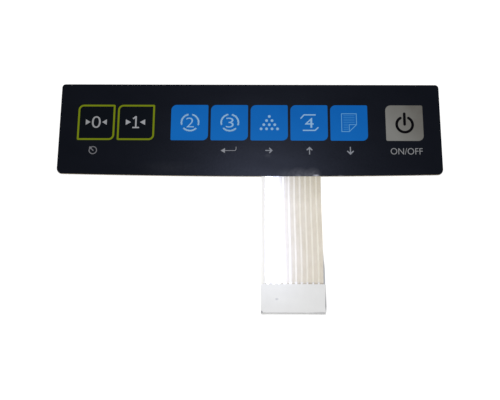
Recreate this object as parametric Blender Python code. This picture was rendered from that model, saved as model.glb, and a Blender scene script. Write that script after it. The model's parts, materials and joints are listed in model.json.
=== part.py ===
"""Membrane keypad: a flat laminate of printed films with eight key areas and a film tail.

The laminate is built bottom up, each layer resting on the one below: release liner, rear
adhesive, lower circuit film with its shorting pads, spacer with a hole under every key, upper
circuit film with silver tracks on its underside, overlay adhesive and graphic overlay.
The upper circuit film runs out under the overlay's lower edge as the tail, which ends in a
connector housing with one crimped socket contact per track.

Frame: the keypad lies flat with its keys up. The origin is the centre of the panel's rear
face, X runs along the row of keys, Y points to the panel's upper edge, Z out of the keys.
Named sizes are in millimetres.
"""

import math

import bmesh
import bpy
from mathutils import Matrix

MM = 0.001

# Key areas
KEY_SIZE = 17.6
KEY_GAP = 1.24
LEFT_GROUP_GAP = 7.8
RIGHT_GROUP_GAP = 8.53
KEY_ROUND = 2.6
KEY_SHARP = 0.65
FRAME_LINE = 0.88
PRINT_DEPTH = 0.05

# Panel outline
LEFT_MARGIN = 8.47
RIGHT_MARGIN = 8.2
TOP_MARGIN = 10.33
BOTTOM_MARGIN = 17.3
BOTTOM_BOW = 1.05
TOP_CORNER = 1.6
BOTTOM_CORNER = 2.5
LAYER_INSET = 0.4
LEAST_RADIUS = 0.1

# Layer thicknesses, bottom up
LINER = 0.10
REAR_ADHESIVE = 0.13
FILM = 0.125
INK = 0.02
SPACER = 0.15
OVERLAY_ADHESIVE = 0.05
OVERLAY = 0.25

# Contacts under the keys
COMB_PITCH = 1.0
COMB_FINGER = 0.55
COMB_FINGERS = 9
COMB_HEIGHT = 8.6
PAD_RADIUS = 6.0
HOLE_RADIUS = 6.75
VENT_WIDTH = 1.0

# Tracks
TRACK_WIDTH = 0.8
LANE_PITCH = 1.6
LANE_EDGE = 1.9
BUS_EDGE = 4.4
SIDE_EDGE = 3.5

# Tail
TAIL_X = 19.42
TAIL_WAYS = 11
TAIL_PITCH = 2.54
TAIL_LENGTH = 50.22
LEG_WIDTH = 1.7
TAIL_EDGE = 0.27
TAIL_FLARE = 0.95
TRACK_DRIFT = 0.56
BEND_AFTER_PANEL = 6.0
BEND_BEFORE_HOUSING = 4.0
COVER = 0.05
COVER_EDGE = 0.15
TRACK_END_GAP = 0.3
TRACK_OVERLAP = 0.1

# Connector housing and its contacts
HOUSING_LENGTH = 12.65
HOUSING_HEIGHT = 2.6
HOUSING_EDGE = 0.5
HOUSING_CORNER = 0.5
HOUSING_WALL = 0.5
FRONT_WALL = 0.7
MOUTH_DEPTH = 4.4
MOUTH_HEIGHT = 1.3
CAVITY_OVERLAP = 0.2
PIN_WINDOW = 1.0
LEAD_IN = 0.3
CONTACT_SHEET = 0.25
CONTACT_WIDTH = 2.0
TUBE_ROUND = 0.4
TUBE_SEAM = 0.1
CRIMP_WIDTH = 1.8
CRIMP_SHEET = 0.2
CRIMP_LIP = 0.15
CRIMP_OVERLAP = 0.9
CRIMP_REACH = 0.75
CRIMP_STEP = 2.2
TINE_X = 0.635
TINE_WIDTH = 0.25
TINE_LENGTH = 0.6
TINE_CURL = 0.3
NECK_WIDTH = 0.9
TONGUE_LENGTH = 4.0

# Straight steps along a quarter circle, the panel's bowed edge and a tine's curl
ROUND_STEPS = 6
FOLD_STEPS = 2
BOW_STEPS = 16
CURL_STEPS = 4

# How far a cutter reaches past what it cuts
CUT_MARGIN = 1.0

# Positions that follow from the sizes
KEY_PITCH = KEY_SIZE + KEY_GAP
PANEL_LENGTH = (
    LEFT_MARGIN + 8 * KEY_SIZE + 5 * KEY_GAP + LEFT_GROUP_GAP + RIGHT_GROUP_GAP + RIGHT_MARGIN
)
PANEL_HEIGHT = TOP_MARGIN + KEY_SIZE + BOTTOM_MARGIN
LEFT = -PANEL_LENGTH / 2
RIGHT = PANEL_LENGTH / 2
BOTTOM = -PANEL_HEIGHT / 2
TOP = PANEL_HEIGHT / 2
KEY_Y = BOTTOM + BOTTOM_MARGIN + KEY_SIZE / 2

FIRST_KEY = LEFT + LEFT_MARGIN + KEY_SIZE / 2
FIRST_BLUE = FIRST_KEY + KEY_PITCH + KEY_SIZE + LEFT_GROUP_GAP
LAST_KEY = FIRST_BLUE + 4 * KEY_PITCH + KEY_SIZE + RIGHT_GROUP_GAP
FRAMED_KEYS = [FIRST_KEY, FIRST_KEY + KEY_PITCH]
BLUE_KEYS = [FIRST_BLUE + i * KEY_PITCH for i in range(5)]
KEYS = FRAMED_KEYS + BLUE_KEYS + [LAST_KEY]
KEYS_LEFT_OF_TAIL = 5

ADHESIVE_Z = LINER
LOWER_FILM_Z = ADHESIVE_Z + REAR_ADHESIVE
SPACER_Z = LOWER_FILM_Z + FILM
TRACK_Z = SPACER_Z + SPACER
UPPER_FILM_Z = TRACK_Z + INK
OVERLAY_ADHESIVE_Z = UPPER_FILM_Z + FILM
OVERLAY_Z = OVERLAY_ADHESIVE_Z + OVERLAY_ADHESIVE
PANEL_TOP_Z = OVERLAY_Z + OVERLAY

LEGS = [TAIL_X + (i - (TAIL_WAYS - 1) / 2) * TAIL_PITCH for i in range(TAIL_WAYS)]
LEG_SPAN = (TAIL_WAYS - 1) * TAIL_PITCH + LEG_WIDTH
TAIL_WIDTH = LEG_SPAN + 2 * TAIL_EDGE
HOUSING_X = TAIL_X + TRACK_DRIFT
HOUSING_WIDTH = TAIL_WAYS * TAIL_PITCH + 2 * HOUSING_EDGE
HOUSING_REAR = BOTTOM - TAIL_LENGTH
HOUSING_FRONT = HOUSING_REAR - HOUSING_LENGTH
CRIMP_START = HOUSING_REAR + CRIMP_REACH
LEG_END = CRIMP_START + TRACK_END_GAP
TONGUE_END = HOUSING_REAR - TONGUE_LENGTH

# Height of the tracks inside the housing, and how far the tail climbs to reach it
CONTACT_Z = HOUSING_HEIGHT / 2 - FILM / 2
TAIL_RISE = CONTACT_Z - TRACK_Z
BEND_START = BOTTOM - BEND_AFTER_PANEL
BEND_END = HOUSING_REAR + BEND_BEFORE_HOUSING
BEND_STEPS = 14


def material(name, colour, roughness=0.5, metallic=0.0, alpha=1.0):
    """One surface, named after the sub-part that wears it."""
    surface = bpy.data.materials.new(name)
    surface.use_nodes = True
    shader = surface.node_tree.nodes["Principled BSDF"]
    shader.inputs["Base Color"].default_value = (*colour, 1.0)
    shader.inputs["Roughness"].default_value = roughness
    shader.inputs["Metallic"].default_value = metallic
    shader.inputs["Alpha"].default_value = alpha
    return surface


def finish(name, mesh, surface=None):
    """Puts a mesh into the scene as one named object."""
    obj = bpy.data.objects.new(name, mesh)
    bpy.context.scene.collection.objects.link(obj)
    if surface is not None:
        obj.data.materials.append(surface)
    return obj


def quarter(cx, cy, radius, start, steps):
    """Points of a quarter circle, from the start angle in degrees, anticlockwise."""
    turns = [math.radians(start + 90 * i / steps) for i in range(steps + 1)]
    return [(cx + radius * math.cos(t), cy + radius * math.sin(t)) for t in turns]


def rounded_rectangle(x0, x1, y0, y1, radii, steps=ROUND_STEPS):
    """Outline with its own radius at each corner: lower left, lower right, upper right, upper left."""
    low_left, low_right, high_right, high_left = radii
    points = []
    for cx, cy, radius, start in (
        (x0 + low_left, y0 + low_left, low_left, 180),
        (x1 - low_right, y0 + low_right, low_right, 270),
        (x1 - high_right, y1 - high_right, high_right, 0),
        (x0 + high_left, y1 - high_left, high_left, 90),
    ):
        points += quarter(cx, cy, radius, start, steps)
    return points


def extrude_faces(bm, way):
    """Turns the flat faces of a mesh into a closed body by drawing them along a way in mm."""
    made = bmesh.ops.extrude_face_region(bm, geom=list(bm.faces))
    verts = [item for item in made["geom"] if isinstance(item, bmesh.types.BMVert)]
    bmesh.ops.translate(bm, verts=verts, vec=[step * MM for step in way])
    bmesh.ops.recalc_face_normals(bm, faces=list(bm.faces))


def plate(name, outline, z0, z1, surface=None):
    """A flat plate with the given outline, from height z0 to z1."""
    bm = bmesh.new()
    bm.faces.new([bm.verts.new((x * MM, y * MM, z0 * MM)) for x, y in outline])
    extrude_faces(bm, (0, 0, z1 - z0))
    mesh = bpy.data.meshes.new(name)
    bm.to_mesh(mesh)
    bm.free()
    return finish(name, mesh, surface)


def bar(name, section, y0, y1, surface=None):
    """A bar with the given cross-section of x and z, from y0 to y1."""
    bm = bmesh.new()
    bm.faces.new([bm.verts.new((x * MM, y0 * MM, z * MM)) for x, z in section])
    extrude_faces(bm, (0, y1 - y0, 0))
    mesh = bpy.data.meshes.new(name)
    bm.to_mesh(mesh)
    bm.free()
    return finish(name, mesh, surface)


def blocks(name, boxes, surface=None):
    """Separate rectangular blocks in one mesh, each given as x0, x1, y0, y1, z0, z1."""
    bm = bmesh.new()
    for x0, x1, y0, y1, z0, z1 in boxes:
        cube = bmesh.ops.create_cube(bm, size=1.0)["verts"]
        bmesh.ops.scale(bm, verts=cube, vec=((x1 - x0) * MM, (y1 - y0) * MM, (z1 - z0) * MM))
        middle = ((x0 + x1) / 2 * MM, (y0 + y1) / 2 * MM, (z0 + z1) / 2 * MM)
        bmesh.ops.translate(bm, verts=cube, vec=middle)
    mesh = bpy.data.meshes.new(name)
    bm.to_mesh(mesh)
    bm.free()
    return finish(name, mesh, surface)


def discs(name, centres, radius, z0, z1, sides=40):
    """Separate round plugs in one mesh, all at the height of the keys' centre line."""
    bm = bmesh.new()
    for x in centres:
        made = bmesh.ops.create_cone(
            bm,
            cap_ends=True,
            segments=sides,
            radius1=radius * MM,
            radius2=radius * MM,
            depth=(z1 - z0) * MM,
        )
        place = (x * MM, KEY_Y * MM, (z0 + z1) / 2 * MM)
        bmesh.ops.translate(bm, verts=made["verts"], vec=place)
    mesh = bpy.data.meshes.new(name)
    bm.to_mesh(mesh)
    bm.free()
    return finish(name, mesh)


def combine(obj, tool, operation):
    """Cuts the tool from the object, or joins it to the object, and removes the tool."""
    step = obj.modifiers.new("combine", "BOOLEAN")
    step.operation = operation
    step.solver = "EXACT"
    step.object = tool
    bpy.context.view_layer.update()
    graph = bpy.context.evaluated_depsgraph_get()
    mesh = bpy.data.meshes.new_from_object(obj.evaluated_get(graph))
    obj.modifiers.remove(step)
    old = obj.data
    obj.data = mesh
    bpy.data.meshes.remove(old)
    bpy.data.objects.remove(tool)


def ring_plate(name, outside, inside, z0, z1, surface=None):
    """A flat plate with one opening."""
    ring = plate(name, outside, z0, z1, surface)
    combine(ring, plate("opening", inside, z0 - CUT_MARGIN, z1 + CUT_MARGIN), "DIFFERENCE")
    return ring


def fused(name, boxes, surface=None):
    """Blocks x0, x1, y0, y1, z0, z1 that overlap or touch, fused into one closed body."""
    boxes = [tuple(round(value, 5) for value in box) for box in boxes]
    cuts = [sorted({box[i] for box in boxes for i in (axis, axis + 1)}) for axis in (0, 2, 4)]
    filled = set()
    for box in boxes:
        spans = []
        for axis in range(3):
            low = cuts[axis].index(box[2 * axis])
            high = cuts[axis].index(box[2 * axis + 1])
            spans.append(range(low, high))
        filled.update((i, j, k) for i in spans[0] for j in spans[1] for k in spans[2])
    bm = bmesh.new()
    corners = {}
    for cell in filled:
        for axis in range(3):
            for side in (0, 1):
                beyond = list(cell)
                beyond[axis] += 2 * side - 1
                if tuple(beyond) in filled:
                    continue
                face = []
                for u, v in ((0, 0), (1, 0), (1, 1), (0, 1)):
                    spot = list(cell)
                    spot[axis] += side
                    spot[(axis + 1) % 3] += u
                    spot[(axis + 2) % 3] += v
                    spot = tuple(spot)
                    if spot not in corners:
                        place = [cuts[n][spot[n]] * MM for n in range(3)]
                        corners[spot] = bm.verts.new(place)
                    face.append(corners[spot])
                bm.faces.new(face)
    bmesh.ops.recalc_face_normals(bm, faces=list(bm.faces))
    bmesh.ops.dissolve_limit(
        bm, angle_limit=0.01, verts=list(bm.verts), edges=list(bm.edges)
    )
    mesh = bpy.data.meshes.new(name)
    bm.to_mesh(mesh)
    bm.free()
    return finish(name, mesh, surface)


def tracks(name, strips, surface):
    """Printed tracks: strips x0, x1, y0, y1 fused into one flat body under the upper film."""
    return fused(name, [(*strip, TRACK_Z, UPPER_FILM_Z) for strip in strips], surface)


def ease(y):
    """0 above the bend in the tail, 1 below it, with a smooth change between."""
    share = (BEND_START - y) / (BEND_START - BEND_END)
    share = min(max(share, 0.0), 1.0)
    return share * share * (3 - 2 * share)


def bend(obj, drift):
    """Lifts the tail to the housing and moves it sideways, in straight steps all layers share."""
    bm = bmesh.new()
    bm.from_mesh(obj.data)
    for i in range(BEND_STEPS + 1):
        y = BEND_START + (BEND_END - BEND_START) * i / BEND_STEPS
        bmesh.ops.bisect_plane(
            bm,
            geom=list(bm.verts) + list(bm.edges) + list(bm.faces),
            dist=1e-9,
            plane_co=(0, y * MM, 0),
            plane_no=(0, 1, 0),
        )
    for vert in bm.verts:
        amount = ease(vert.co.y / MM)
        vert.co.x += drift * amount * MM
        vert.co.z += TAIL_RISE * amount * MM
    bmesh.ops.triangulate(bm, faces=list(bm.faces))
    bmesh.ops.recalc_face_normals(bm, faces=list(bm.faces))
    bm.to_mesh(obj.data)
    bm.free()


def lower_edge(x, inset):
    """Height of the panel's lower edge, which bows down towards its middle."""
    return BOTTOM + inset + BOTTOM_BOW * (x / RIGHT) ** 2


def panel_outline(inset):
    """The panel's outline, set back from its edge, from the lower left corner anticlockwise."""
    low = max(BOTTOM_CORNER - inset, LEAST_RADIUS)
    high = max(TOP_CORNER - inset, LEAST_RADIUS)
    reach = RIGHT - inset - low
    corners = rounded_rectangle(
        LEFT + inset,
        RIGHT - inset,
        lower_edge(reach, inset),
        TOP - inset,
        (low, low, high, high),
    )
    bow = []
    for i in range(1, BOW_STEPS):
        x = reach * (2 * i / BOW_STEPS - 1)
        bow.append((x, lower_edge(x, inset)))
    return corners[: ROUND_STEPS + 1] + bow + corners[ROUND_STEPS + 1 :]


def key_outline(x, inset=0.0):
    """A key area: two opposite corners well rounded, the other two nearly sharp."""
    half = KEY_SIZE / 2 - inset
    big = max(KEY_ROUND - inset, LEAST_RADIUS)
    small = max(KEY_SHARP - inset, LEAST_RADIUS)
    return rounded_rectangle(
        x - half, x + half, KEY_Y - half, KEY_Y + half, (small, big, small, big)
    )


# Surfaces
def shade(red, green, blue):
    """Linear colour from the usual 0 to 255 values."""
    return tuple((value / 255) ** 2.2 for value in (red, green, blue))


def clear_scene():
    for obj in list(bpy.data.objects):
        bpy.data.objects.remove(obj)


clear_scene()

# Release liner, rear adhesive and lower circuit film
plate(
    "release_liner",
    panel_outline(0.0),
    0.0,
    ADHESIVE_Z,
    material("release_liner", shade(214, 196, 150), 0.6),
)
plate(
    "rear_adhesive",
    panel_outline(LAYER_INSET),
    ADHESIVE_Z,
    LOWER_FILM_Z,
    material("rear_adhesive", shade(226, 226, 220), 0.7),
)
plate(
    "lower_circuit_film",
    panel_outline(LAYER_INSET),
    LOWER_FILM_Z,
    SPACER_Z,
    material("lower_circuit_film", shade(232, 232, 226), 0.2, alpha=0.5),
)

# Shorting pads, one under every key
pad_black = material("shorting_pad", shade(38, 38, 40), 0.8)
for number, x in enumerate(KEYS, 1):
    pad = discs("shorting_pad_%d" % number, [x], PAD_RADIUS, SPACER_Z, SPACER_Z + INK)
    pad.data.materials.append(pad_black)

# Spacer with a hole under every key and a vent channel from hole to hole
spacer = plate(
    "spacer",
    panel_outline(LAYER_INSET),
    SPACER_Z,
    TRACK_Z,
    material("spacer", shade(236, 233, 222), 0.5),
)
cut_low = SPACER_Z - CUT_MARGIN
cut_high = TRACK_Z + CUT_MARGIN
combine(spacer, discs("holes", KEYS, HOLE_RADIUS, cut_low, cut_high), "DIFFERENCE")
vent = (KEYS[0], KEYS[-1], KEY_Y - VENT_WIDTH / 2, KEY_Y + VENT_WIDTH / 2, cut_low, cut_high)
combine(spacer, blocks("vent", [vent]), "DIFFERENCE")

# Printed tracks: heights of the bus and of the lanes, and the comb under each key
BUS_Y = TOP - BUS_EDGE
LOWEST_LANE = BOTTOM + BOTTOM_BOW + LANE_EDGE
HALF_TRACK = TRACK_WIDTH / 2
COMB_TOP = KEY_Y + COMB_HEIGHT / 2
COMB_BOTTOM = KEY_Y - COMB_HEIGHT / 2
COMB_HALF = ((COMB_FINGERS - 1) * COMB_PITCH + COMB_FINGER) / 2
FINGER_GAP = COMB_PITCH - COMB_FINGER


def across(x0, x1, y):
    """A track that runs sideways."""
    return (min(x0, x1) - HALF_TRACK, max(x0, x1) + HALF_TRACK, y - HALF_TRACK, y + HALF_TRACK)


def upright(x, y0, y1):
    """A track that runs up and down."""
    return (x - HALF_TRACK, x + HALF_TRACK, min(y0, y1) - HALF_TRACK, max(y0, y1) + HALF_TRACK)


def leg(x, start):
    """A track's wide run down the tail, and its narrow end under the crimp."""
    neck_low = TONGUE_END + TRACK_END_GAP
    neck_high = LEG_END + TRACK_OVERLAP
    return [
        (x - LEG_WIDTH / 2, x + LEG_WIDTH / 2, LEG_END, start),
        (x - NECK_WIDTH / 2, x + NECK_WIDTH / 2, neck_low, neck_high),
    ]


def comb(x, side):
    """Half of a comb: the fingers that hang from the top bar, or those that rise from the bottom bar."""
    if side == "top":
        bar = (x - COMB_HALF, x + COMB_HALF, COMB_TOP - COMB_FINGER, COMB_TOP)
        low = COMB_BOTTOM + COMB_FINGER + FINGER_GAP
        high = COMB_TOP
        first = 0
    else:
        bar = (x - COMB_HALF, x + COMB_HALF, COMB_BOTTOM, COMB_BOTTOM + COMB_FINGER)
        low = COMB_BOTTOM
        high = COMB_TOP - COMB_FINGER - FINGER_GAP
        first = 1
    strips = [bar]
    for i in range(first, COMB_FINGERS, 2):
        left = x - COMB_HALF + i * COMB_PITCH
        strips.append((left, left + COMB_FINGER, low, high))
    return strips


silver = material("silver_ink", shade(196, 186, 172), 0.45, 0.3)

# The common track: a bus above the keys that comes down at both ends and in the middle
common_end = LEFT + SIDE_EDGE
common_other_end = RIGHT - SIDE_EDGE
middle_leg = LEGS[KEYS_LEFT_OF_TAIL + 1]
middle_x = (KEYS[KEYS_LEFT_OF_TAIL - 1] + KEYS[KEYS_LEFT_OF_TAIL]) / 2
highest_lane = LOWEST_LANE + (KEYS_LEFT_OF_TAIL + 1) * LANE_PITCH
common = [
    across(common_end, common_other_end, BUS_Y),
    upright(common_end, LOWEST_LANE, BUS_Y),
    upright(common_other_end, LOWEST_LANE, BUS_Y),
    across(common_end, LEGS[0], LOWEST_LANE),
    across(LEGS[-1], common_other_end, LOWEST_LANE),
    upright(middle_x, highest_lane, BUS_Y),
    across(middle_x, middle_leg, highest_lane),
]
common += leg(LEGS[0], LOWEST_LANE + HALF_TRACK)
common += leg(middle_leg, highest_lane + HALF_TRACK)
common += leg(LEGS[-1], LOWEST_LANE + HALF_TRACK)
for x in KEYS:
    common += comb(x, "top")
    common.append(upright(x, COMB_TOP, BUS_Y))
bend(tracks("track_common", common, silver), TRACK_DRIFT)

# One track for each key, in nested lanes that never cross
for number, x in enumerate(KEYS, 1):
    if number <= KEYS_LEFT_OF_TAIL:
        lane = number
        leg_x = LEGS[number]
    else:
        lane = len(KEYS) + 1 - number
        leg_x = LEGS[number + 1]
    lane_y = LOWEST_LANE + lane * LANE_PITCH
    strips = comb(x, "bottom")
    strips.append(upright(x, lane_y, COMB_BOTTOM))
    strips.append(across(x, leg_x, lane_y))
    strips += leg(leg_x, lane_y + HALF_TRACK)
    bend(tracks("track_key_%d" % number, strips, silver), TRACK_DRIFT)

# Upper circuit film: the panel's outline with the tail below it, flared on one side to the housing
film_left = TAIL_X - TAIL_WIDTH / 2
film_right = TAIL_X + TAIL_WIDTH / 2
tongue_half = ((TAIL_WAYS - 1) * TAIL_PITCH + CONTACT_WIDTH) / 2
flare = []
for i in range(BEND_STEPS + 1):
    y = BEND_START + (BEND_END - BEND_START) * i / BEND_STEPS
    share = min(max(2 * i / BEND_STEPS - 1, 0.0), 1.0)
    flare.append((film_right + TAIL_FLARE * share * share * (3 - 2 * share), y))
outline = panel_outline(LAYER_INSET)
left_of_tail = next(i for i, point in enumerate(outline) if point[0] > film_left)
right_of_tail = next(i for i, point in enumerate(outline) if point[0] > film_right)
film_outline = (
    outline[:left_of_tail]
    + [(film_left, lower_edge(film_left, LAYER_INSET)), (film_left, HOUSING_REAR)]
    + [(HOUSING_X - tongue_half, HOUSING_REAR), (HOUSING_X - tongue_half, TONGUE_END)]
    + [(HOUSING_X + tongue_half, TONGUE_END), (HOUSING_X + tongue_half, HOUSING_REAR)]
    + [(film_right + TAIL_FLARE, HOUSING_REAR)]
    + flare[::-1]
    + [(film_right, lower_edge(film_right, LAYER_INSET))]
    + outline[right_of_tail:]
)
film = plate(
    "upper_circuit_film",
    film_outline,
    UPPER_FILM_Z,
    OVERLAY_ADHESIVE_Z,
    material("upper_circuit_film", shade(240, 236, 226), 0.15, alpha=0.35),
)
bend(film, 0.0)

# Insulating cover under the tail's tracks
cover = plate(
    "tail_cover",
    [
        (LEGS[0] - LEG_WIDTH / 2 - COVER_EDGE, LEG_END),
        (LEGS[-1] + LEG_WIDTH / 2 + COVER_EDGE, LEG_END),
        (LEGS[-1] + LEG_WIDTH / 2 + COVER_EDGE, BOTTOM + LAYER_INSET),
        (LEGS[0] - LEG_WIDTH / 2 - COVER_EDGE, BOTTOM + LAYER_INSET),
    ],
    TRACK_Z - COVER,
    TRACK_Z,
    material("tail_cover", shade(238, 230, 210), 0.5),
)
bend(cover, TRACK_DRIFT)

# Socket contacts, folded from sheet: a tube for the pin, and a plate under the film whose tines
# pass up through the film and curl down onto it
film_top_z = CONTACT_Z + INK + FILM
cavity_start = HOUSING_REAR - MOUTH_DEPTH
cavity_end = HOUSING_FRONT + FRONT_WALL
tube_low = HOUSING_WALL
tube_high = HOUSING_HEIGHT - HOUSING_WALL


def folded_tube(x0, x1, z0, z1):
    """Cross-section of a tube folded from sheet, its seam in the middle of its floor."""
    sheet = CONTACT_SHEET
    corner = FOLD_STEPS + 1
    outer = rounded_rectangle(x0, x1, z0, z1, (TUBE_ROUND,) * 4, FOLD_STEPS)
    inner = rounded_rectangle(
        x0 + sheet, x1 - sheet, z0 + sheet, z1 - sheet, (TUBE_ROUND - sheet,) * 4, FOLD_STEPS
    )
    right = (x0 + x1 + TUBE_SEAM) / 2
    left = (x0 + x1 - TUBE_SEAM) / 2
    around = [(right, z0)] + outer[corner:] + outer[:corner] + [(left, z0)]
    back = [(right, z0 + sheet)] + inner[corner:] + inner[:corner] + [(left, z0 + sheet)]
    return around + back[::-1]


def tine(side):
    """Cross-section of a tine that rises through the film and curls down onto it, inwards."""
    outer = side * (TINE_X + TINE_WIDTH / 2)
    middle = outer - side * TINE_CURL
    root_z = CONTACT_Z - CRIMP_SHEET / 2
    curls = []
    for radius in (TINE_CURL, TINE_CURL - TINE_WIDTH):
        turns = [math.pi * i / CURL_STEPS for i in range(CURL_STEPS + 1)]
        curls.append(
            [
                (middle + side * radius * math.cos(t), film_top_z + radius * math.sin(t))
                for t in turns
            ]
        )
    inside = outer - side * TINE_WIDTH
    return [(outer, root_z)] + curls[0] + curls[1][::-1] + [(inside, root_z)]


brass = material("contact", shade(196, 178, 128), 0.3, 0.9)
half = CONTACT_WIDTH / 2
contact = bar("contact_1", folded_tube(-half, half, tube_low, tube_high), cavity_end, cavity_start)
contact.data.materials.append(brass)
crimp_half = CRIMP_WIDTH / 2
crimp = [
    (-crimp_half, CONTACT_Z - CRIMP_SHEET),
    (crimp_half, CONTACT_Z - CRIMP_SHEET),
    (crimp_half, CONTACT_Z),
    (-crimp_half, CONTACT_Z),
]
crimp_ends = (cavity_start - CRIMP_OVERLAP, CRIMP_START + CRIMP_LIP)
combine(contact, bar("crimp", crimp, *crimp_ends), "UNION")
slots = []
for y in (CRIMP_START, CRIMP_START - CRIMP_STEP):
    for side in (-1, 1):
        combine(contact, bar("tine", tine(side), y - TINE_LENGTH, y), "UNION")
        edges = sorted((side * (TINE_X - TINE_WIDTH / 2), side * (TINE_X + TINE_WIDTH / 2)))
        slots.append((*edges, y - TINE_LENGTH, y, CONTACT_Z, film_top_z + CUT_MARGIN))
contact.location.x = (LEGS[0] + TRACK_DRIFT) * MM
for number in range(2, TAIL_WAYS + 1):
    contact = finish("contact_%d" % number, contact.data)
    contact.location.x = (LEGS[number - 1] + TRACK_DRIFT) * MM
all_slots = [(x + s[0] + TRACK_DRIFT, x + s[1] + TRACK_DRIFT, *s[2:]) for x in LEGS for s in slots]

# Slots where the crimps pass through the film
combine(film, blocks("slots", all_slots), "DIFFERENCE")

# Connector housing
housing = plate(
    "connector_housing",
    rounded_rectangle(
        HOUSING_X - HOUSING_WIDTH / 2,
        HOUSING_X + HOUSING_WIDTH / 2,
        HOUSING_FRONT,
        HOUSING_REAR,
        (HOUSING_CORNER, HOUSING_CORNER, HOUSING_CORNER, HOUSING_CORNER),
    ),
    0.0,
    HOUSING_HEIGHT,
    material("connector_housing", shade(232, 232, 232), 0.45),
)
mouth = (
    HOUSING_X - tongue_half,
    HOUSING_X + tongue_half,
    cavity_start,
    HOUSING_REAR + CUT_MARGIN,
    (HOUSING_HEIGHT - MOUTH_HEIGHT) / 2,
    (HOUSING_HEIGHT + MOUTH_HEIGHT) / 2,
)
combine(housing, blocks("mouth", [mouth]), "DIFFERENCE")


def funnel(x, overrun=0.1):
    """A four-sided cutter that widens at 45 degrees to the front, past both ends of the lead-in."""
    deep = PIN_WINDOW - 2 * overrun
    length = LEAD_IN + 2 * overrun
    wide = deep + 2 * length
    bm = bmesh.new()
    cone = bmesh.ops.create_cone(
        bm,
        cap_ends=True,
        segments=4,
        radius1=deep / math.sqrt(2) * MM,
        radius2=wide / math.sqrt(2) * MM,
        depth=length * MM,
    )["verts"]
    turn = Matrix.Rotation(math.radians(90), 3, "X") @ Matrix.Rotation(math.radians(45), 3, "Z")
    bmesh.ops.rotate(bm, verts=cone, matrix=turn)
    middle = (x * MM, (HOUSING_FRONT + LEAD_IN / 2) * MM, HOUSING_HEIGHT / 2 * MM)
    bmesh.ops.translate(bm, verts=cone, vec=middle)
    mesh = bpy.data.meshes.new("funnel")
    bm.to_mesh(mesh)
    bm.free()
    return finish("funnel", mesh)


# Cavities for the contacts, and the windows with funnel mouths through which the pins come in
cavities = []
windows = []
for x in LEGS:
    x += TRACK_DRIFT
    low = (HOUSING_HEIGHT - PIN_WINDOW) / 2
    cavities.append((x - half, x + half, cavity_end, cavity_start + CAVITY_OVERLAP, tube_low, tube_high))
    sides = (x - PIN_WINDOW / 2, x + PIN_WINDOW / 2)
    ends = (HOUSING_FRONT - CUT_MARGIN, cavity_end + CUT_MARGIN)
    windows.append((*sides, *ends, low, low + PIN_WINDOW))
combine(housing, blocks("cavities", cavities), "DIFFERENCE")
combine(housing, blocks("windows", windows), "DIFFERENCE")
for x in LEGS:
    combine(housing, funnel(x + TRACK_DRIFT), "DIFFERENCE")

# Overlay adhesive and graphic overlay
plate(
    "overlay_adhesive",
    panel_outline(LAYER_INSET),
    OVERLAY_ADHESIVE_Z,
    OVERLAY_Z,
    material("overlay_adhesive", shade(228, 228, 222), 0.5),
)
overlay = plate(
    "graphic_overlay",
    panel_outline(0.0),
    OVERLAY_Z,
    PANEL_TOP_Z,
    material("graphic_overlay", shade(22, 24, 33), 0.45),
)

# Printed key areas, sunk flush into the overlay
print_low = PANEL_TOP_Z - PRINT_DEPTH
blue = material("key_blue", shade(22, 98, 176), 0.4)
grey = material("key_grey", shade(118, 118, 114), 0.4)
green = material("key_frame", shade(136, 152, 34), 0.4)
for number, x in enumerate(KEYS, 1):
    outside = key_outline(x)
    pocket_top = PANEL_TOP_Z + CUT_MARGIN
    if x in FRAMED_KEYS:
        inside = key_outline(x, FRAME_LINE)
        name = "key_frame_%d" % number
        ring_plate(name, outside, inside, print_low, PANEL_TOP_Z, green)
        pocket = ring_plate("pocket", outside, inside, print_low, pocket_top)
    else:
        surface = grey if number == len(KEYS) else blue
        plate("key_field_%d" % number, outside, print_low, PANEL_TOP_Z, surface)
        pocket = plate("pocket", outside, print_low, pocket_top)
    combine(overlay, pocket, "DIFFERENCE")
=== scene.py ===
# %% [markdown]
# # A membrane keypad, dressed for its picture
# A membrane keypad is a stack of thin films: a printed face on top, circuits inside, adhesive
# behind, and a flat film tail that ends in a small socket housing. Its solid parts are already
# modelled elsewhere, so this lesson loads them as a fixed frame and adds what a solid can't
# carry: the finish of each film, the printed signs and the light. We start with the frame,
# because every later piece takes its place from it.

# %% Load the solid parts
import json
import math

import bmesh
import bpy
from mathutils import Euler, Matrix, Vector

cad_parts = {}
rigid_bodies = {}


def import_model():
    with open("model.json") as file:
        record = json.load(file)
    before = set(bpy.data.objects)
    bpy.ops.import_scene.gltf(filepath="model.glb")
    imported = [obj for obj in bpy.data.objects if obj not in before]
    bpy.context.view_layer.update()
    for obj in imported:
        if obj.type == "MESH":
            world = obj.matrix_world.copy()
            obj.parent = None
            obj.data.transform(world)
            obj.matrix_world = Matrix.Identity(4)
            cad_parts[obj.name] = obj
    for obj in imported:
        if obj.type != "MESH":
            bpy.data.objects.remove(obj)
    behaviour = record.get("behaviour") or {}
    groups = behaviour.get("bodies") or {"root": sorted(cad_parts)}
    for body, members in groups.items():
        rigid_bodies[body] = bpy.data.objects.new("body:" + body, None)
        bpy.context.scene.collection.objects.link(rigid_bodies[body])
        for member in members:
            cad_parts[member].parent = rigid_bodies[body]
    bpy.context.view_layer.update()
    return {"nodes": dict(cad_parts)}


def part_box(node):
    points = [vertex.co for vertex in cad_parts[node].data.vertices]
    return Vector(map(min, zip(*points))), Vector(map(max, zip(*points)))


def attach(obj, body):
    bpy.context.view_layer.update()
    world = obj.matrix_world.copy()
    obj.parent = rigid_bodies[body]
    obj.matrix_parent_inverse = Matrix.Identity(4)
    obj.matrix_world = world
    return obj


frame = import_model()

MM = 0.001

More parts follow.
